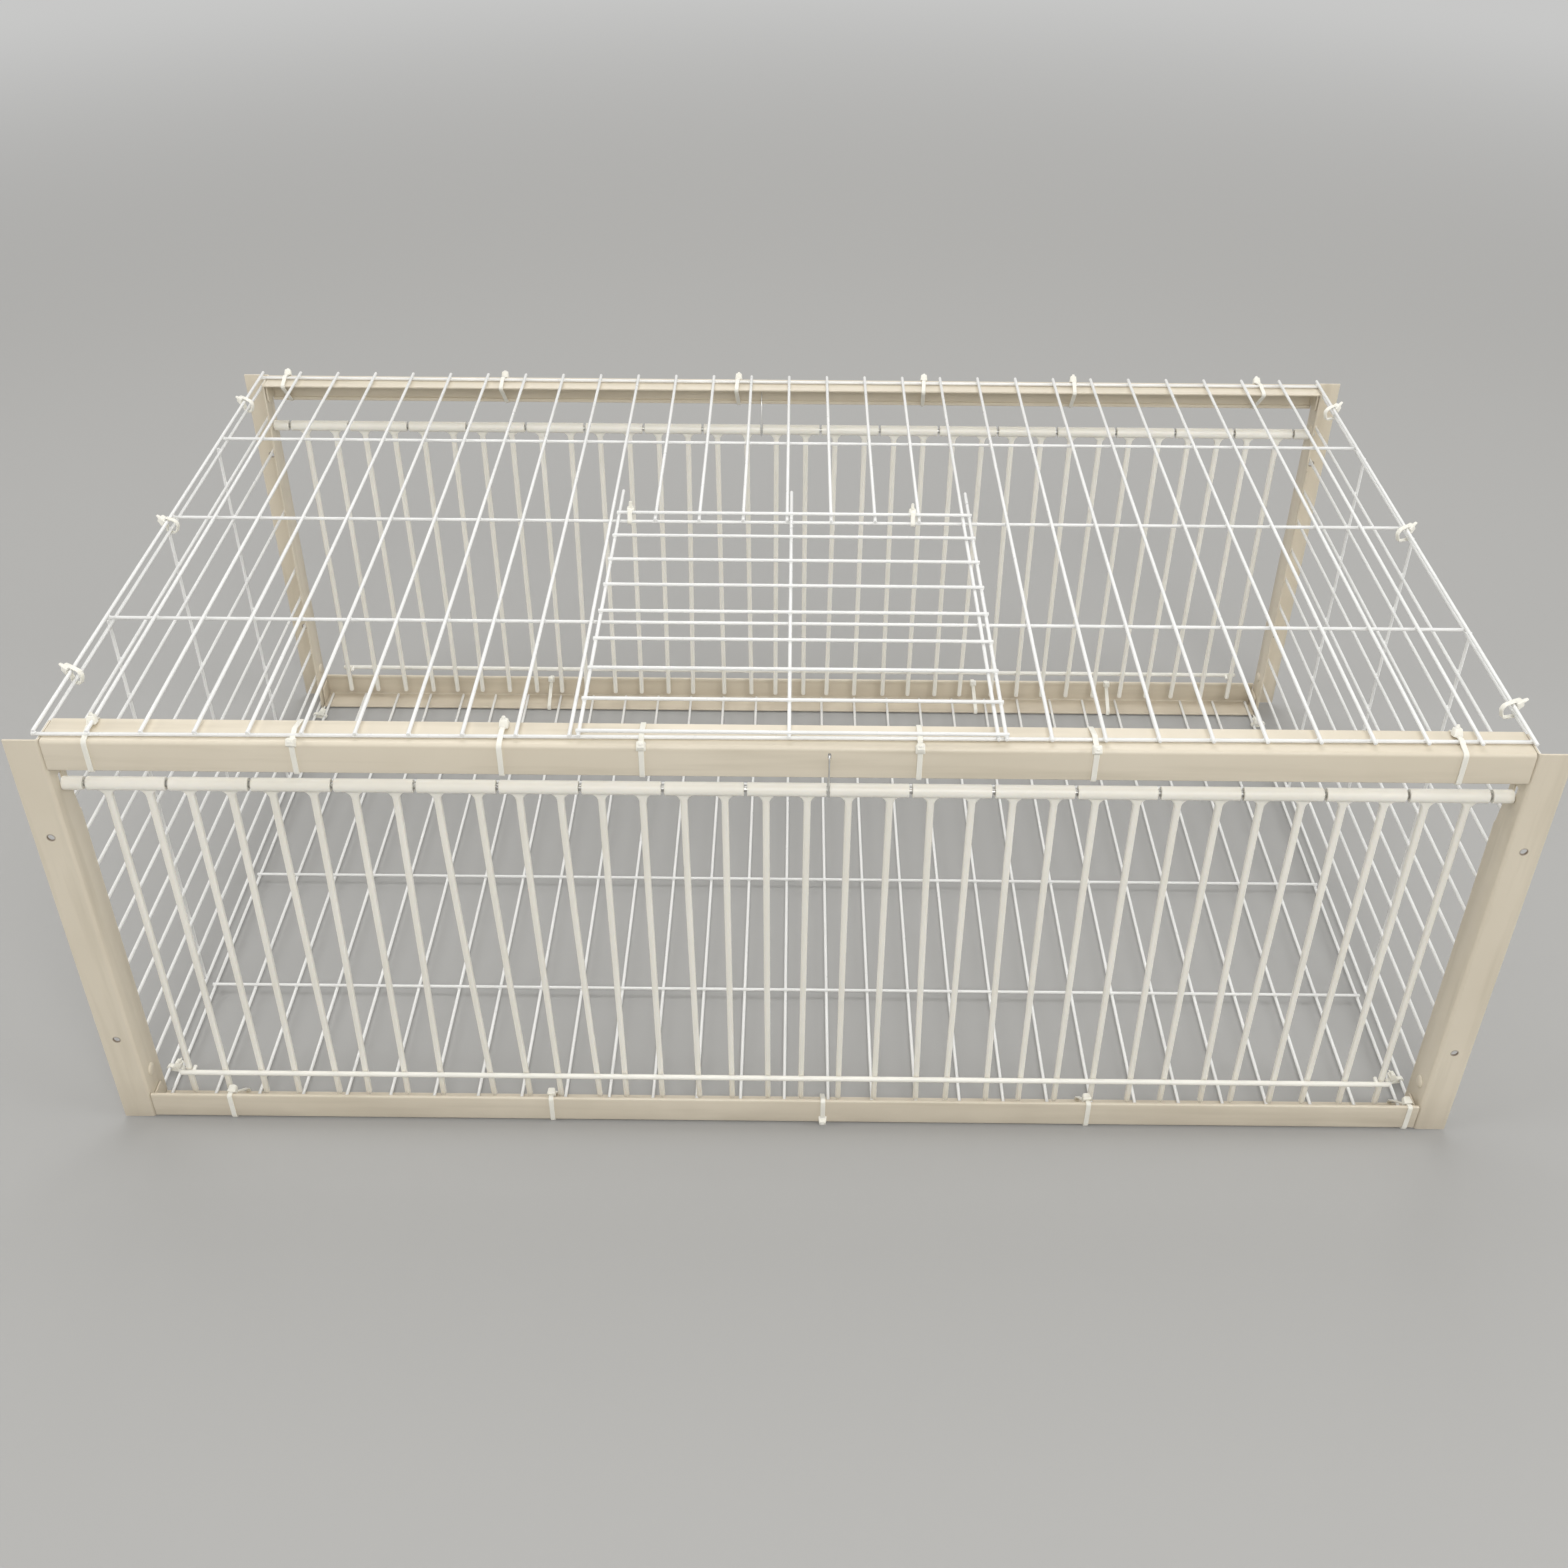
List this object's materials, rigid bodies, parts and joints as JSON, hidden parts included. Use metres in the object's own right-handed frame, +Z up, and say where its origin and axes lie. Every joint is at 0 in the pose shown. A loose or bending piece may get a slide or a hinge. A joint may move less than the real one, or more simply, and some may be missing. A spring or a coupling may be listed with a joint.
{
  "type": "pigeon trap",
  "caption": "Low wire-mesh cage with sheet-metal door frames at the front and rear, each with a row of inward-swinging pronged doors on a rod, and a lidded hatch in the top.",
  "frame": {"origin": "on the surface it stands on, under the middle of the cage", "axes": "+X along the trap to the right as seen from the front, +Y to the rear, +Z up; the front door frame faces -Y"},
  "size_m": [0.86, 0.5026, 0.3133],
  "materials": {
    "painted_sheet": "satin cream paint",
    "door_plastic": "moulded ivory, slightly glossy",
    "coated_wire": "white coating",
    "rod_steel": "plain drawn wire",
    "tie_nylon": "natural white nylon"
  },
  "bodies": {
    "cage": {"front_left_stile": "painted_sheet", "front_right_stile": "painted_sheet", "front_top_rail": "painted_sheet", "front_bottom_rail": "painted_sheet", "front_hinge_rod": "rod_steel", "front_rod_hanger": "rod_steel", "front_stop_bar": "coated_wire", "front_door_01": "door_plastic", "front_door_17": "door_plastic", "rear_left_stile": "painted_sheet", "rear_right_stile": "painted_sheet", "rear_top_rail": "painted_sheet", "rear_bottom_rail": "painted_sheet", "rear_hinge_rod": "rod_steel", "rear_rod_hanger": "rod_steel", "rear_stop_bar": "coated_wire", "rear_door_01": "door_plastic", "rear_door_17": "door_plastic", "top_panel_left": "coated_wire", "top_panel_right": "coated_wire", "top_panel_rear": "coated_wire", "hatch_front_wire": "coated_wire", "hatch_middle_wire": "coated_wire", "floor_panel": "coated_wire", "left_side_panel": "coated_wire", "right_side_panel": "coated_wire", "left_lid_tie": "tie_nylon", "right_lid_tie": "tie_nylon"},
    "front_door_02": {"front_door_02": "door_plastic"},
    "front_door_03": {"front_door_03": "door_plastic"},
    "front_door_04": {"front_door_04": "door_plastic"},
    "front_door_05": {"front_door_05": "door_plastic"},
    "front_door_06": {"front_door_06": "door_plastic"},
    "front_door_07": {"front_door_07": "door_plastic"},
    "front_door_08": {"front_door_08": "door_plastic"},
    "front_door_09": {"front_door_09": "door_plastic"},
    "front_door_10": {"front_door_10": "door_plastic"},
    "front_door_11": {"front_door_11": "door_plastic"},
    "front_door_12": {"front_door_12": "door_plastic"},
    "front_door_13": {"front_door_13": "door_plastic"},
    "front_door_14": {"front_door_14": "door_plastic"},
    "front_door_15": {"front_door_15": "door_plastic"},
    "front_door_16": {"front_door_16": "door_plastic"},
    "rear_door_02": {"rear_door_02": "door_plastic"},
    "rear_door_03": {"rear_door_03": "door_plastic"},
    "rear_door_04": {"rear_door_04": "door_plastic"},
    "rear_door_05": {"rear_door_05": "door_plastic"},
    "rear_door_06": {"rear_door_06": "door_plastic"},
    "rear_door_07": {"rear_door_07": "door_plastic"},
    "rear_door_08": {"rear_door_08": "door_plastic"},
    "rear_door_09": {"rear_door_09": "door_plastic"},
    "rear_door_10": {"rear_door_10": "door_plastic"},
    "rear_door_11": {"rear_door_11": "door_plastic"},
    "rear_door_12": {"rear_door_12": "door_plastic"},
    "rear_door_13": {"rear_door_13": "door_plastic"},
    "rear_door_14": {"rear_door_14": "door_plastic"},
    "rear_door_15": {"rear_door_15": "door_plastic"},
    "rear_door_16": {"rear_door_16": "door_plastic"},
    "lid": {"lid": "coated_wire"}
  },
  "joints": [
    {"name": "front_door_02_swing", "type": "hinge", "parent": "cage", "child": "front_door_02", "pos_m": [-0.3269, -0.238, 0.2625], "axis": [1, 0, 0], "range_deg": [0, 65]},
    {"name": "front_door_03_swing", "type": "hinge", "parent": "cage", "child": "front_door_03", "pos_m": [-0.2802, -0.238, 0.2625], "axis": [1, 0, 0], "range_deg": [0, 65]},
    {"name": "front_door_04_swing", "type": "hinge", "parent": "cage", "child": "front_door_04", "pos_m": [-0.2335, -0.238, 0.2625], "axis": [1, 0, 0], "range_deg": [0, 65]},
    {"name": "front_door_05_swing", "type": "hinge", "parent": "cage", "child": "front_door_05", "pos_m": [-0.1868, -0.238, 0.2625], "axis": [1, 0, 0], "range_deg": [0, 65]},
    {"name": "front_door_06_swing", "type": "hinge", "parent": "cage", "child": "front_door_06", "pos_m": [-0.1401, -0.238, 0.2625], "axis": [1, 0, 0], "range_deg": [0, 65]},
    {"name": "front_door_07_swing", "type": "hinge", "parent": "cage", "child": "front_door_07", "pos_m": [-0.0934, -0.238, 0.2625], "axis": [1, 0, 0], "range_deg": [0, 65]},
    {"name": "front_door_08_swing", "type": "hinge", "parent": "cage", "child": "front_door_08", "pos_m": [-0.0467, -0.238, 0.2625], "axis": [1, 0, 0], "range_deg": [0, 65]},
    {"name": "front_door_09_swing", "type": "hinge", "parent": "cage", "child": "front_door_09", "pos_m": [0, -0.238, 0.2625], "axis": [1, 0, 0], "range_deg": [0, 65]},
    {"name": "front_door_10_swing", "type": "hinge", "parent": "cage", "child": "front_door_10", "pos_m": [0.0467, -0.238, 0.2625], "axis": [1, 0, 0], "range_deg": [0, 65]},
    {"name": "front_door_11_swing", "type": "hinge", "parent": "cage", "child": "front_door_11", "pos_m": [0.0934, -0.238, 0.2625], "axis": [1, 0, 0], "range_deg": [0, 65]},
    {"name": "front_door_12_swing", "type": "hinge", "parent": "cage", "child": "front_door_12", "pos_m": [0.1401, -0.238, 0.2625], "axis": [1, 0, 0], "range_deg": [0, 65]},
    {"name": "front_door_13_swing", "type": "hinge", "parent": "cage", "child": "front_door_13", "pos_m": [0.1868, -0.238, 0.2625], "axis": [1, 0, 0], "range_deg": [0, 65]},
    {"name": "front_door_14_swing", "type": "hinge", "parent": "cage", "child": "front_door_14", "pos_m": [0.2335, -0.238, 0.2625], "axis": [1, 0, 0], "range_deg": [0, 65]},
    {"name": "front_door_15_swing", "type": "hinge", "parent": "cage", "child": "front_door_15", "pos_m": [0.2802, -0.238, 0.2625], "axis": [1, 0, 0], "range_deg": [0, 65]},
    {"name": "front_door_16_swing", "type": "hinge", "parent": "cage", "child": "front_door_16", "pos_m": [0.3269, -0.238, 0.2625], "axis": [1, 0, 0], "range_deg": [0, 65]},
    {"name": "rear_door_02_swing", "type": "hinge", "parent": "cage", "child": "rear_door_02", "pos_m": [0.3269, 0.238, 0.2625], "axis": [-1, 0, 0], "range_deg": [0, 65]},
    {"name": "rear_door_03_swing", "type": "hinge", "parent": "cage", "child": "rear_door_03", "pos_m": [0.2802, 0.238, 0.2625], "axis": [-1, 0, 0], "range_deg": [0, 65]},
    {"name": "rear_door_04_swing", "type": "hinge", "parent": "cage", "child": "rear_door_04", "pos_m": [0.2335, 0.238, 0.2625], "axis": [-1, 0, 0], "range_deg": [0, 65]},
    {"name": "rear_door_05_swing", "type": "hinge", "parent": "cage", "child": "rear_door_05", "pos_m": [0.1868, 0.238, 0.2625], "axis": [-1, 0, 0], "range_deg": [0, 65]},
    {"name": "rear_door_06_swing", "type": "hinge", "parent": "cage", "child": "rear_door_06", "pos_m": [0.1401, 0.238, 0.2625], "axis": [-1, 0, 0], "range_deg": [0, 65]},
    {"name": "rear_door_07_swing", "type": "hinge", "parent": "cage", "child": "rear_door_07", "pos_m": [0.0934, 0.238, 0.2625], "axis": [-1, 0, 0], "range_deg": [0, 65]},
    {"name": "rear_door_08_swing", "type": "hinge", "parent": "cage", "child": "rear_door_08", "pos_m": [0.0467, 0.238, 0.2625], "axis": [-1, 0, 0], "range_deg": [0, 65]},
    {"name": "rear_door_09_swing", "type": "hinge", "parent": "cage", "child": "rear_door_09", "pos_m": [0, 0.238, 0.2625], "axis": [-1, 0, 0], "range_deg": [0, 65]},
    {"name": "rear_door_10_swing", "type": "hinge", "parent": "cage", "child": "rear_door_10", "pos_m": [-0.0467, 0.238, 0.2625], "axis": [-1, 0, 0], "range_deg": [0, 65]},
    {"name": "rear_door_11_swing", "type": "hinge", "parent": "cage", "child": "rear_door_11", "pos_m": [-0.0934, 0.238, 0.2625], "axis": [-1, 0, 0], "range_deg": [0, 65]},
    {"name": "rear_door_12_swing", "type": "hinge", "parent": "cage", "child": "rear_door_12", "pos_m": [-0.1401, 0.238, 0.2625], "axis": [-1, 0, 0], "range_deg": [0, 65]},
    {"name": "rear_door_13_swing", "type": "hinge", "parent": "cage", "child": "rear_door_13", "pos_m": [-0.1868, 0.238, 0.2625], "axis": [-1, 0, 0], "range_deg": [0, 65]},
    {"name": "rear_door_14_swing", "type": "hinge", "parent": "cage", "child": "rear_door_14", "pos_m": [-0.2335, 0.238, 0.2625], "axis": [-1, 0, 0], "range_deg": [0, 65]},
    {"name": "rear_door_15_swing", "type": "hinge", "parent": "cage", "child": "rear_door_15", "pos_m": [-0.2802, 0.238, 0.2625], "axis": [-1, 0, 0], "range_deg": [0, 65]},
    {"name": "rear_door_16_swing", "type": "hinge", "parent": "cage", "child": "rear_door_16", "pos_m": [-0.3269, 0.238, 0.2625], "axis": [-1, 0, 0], "range_deg": [0, 65]},
    {"name": "lid_hinge", "type": "hinge", "parent": "cage", "child": "lid", "pos_m": [0, 0.012, 0.3061], "axis": [-1, 0, 0], "range_deg": [0, 80]}
  ]
}
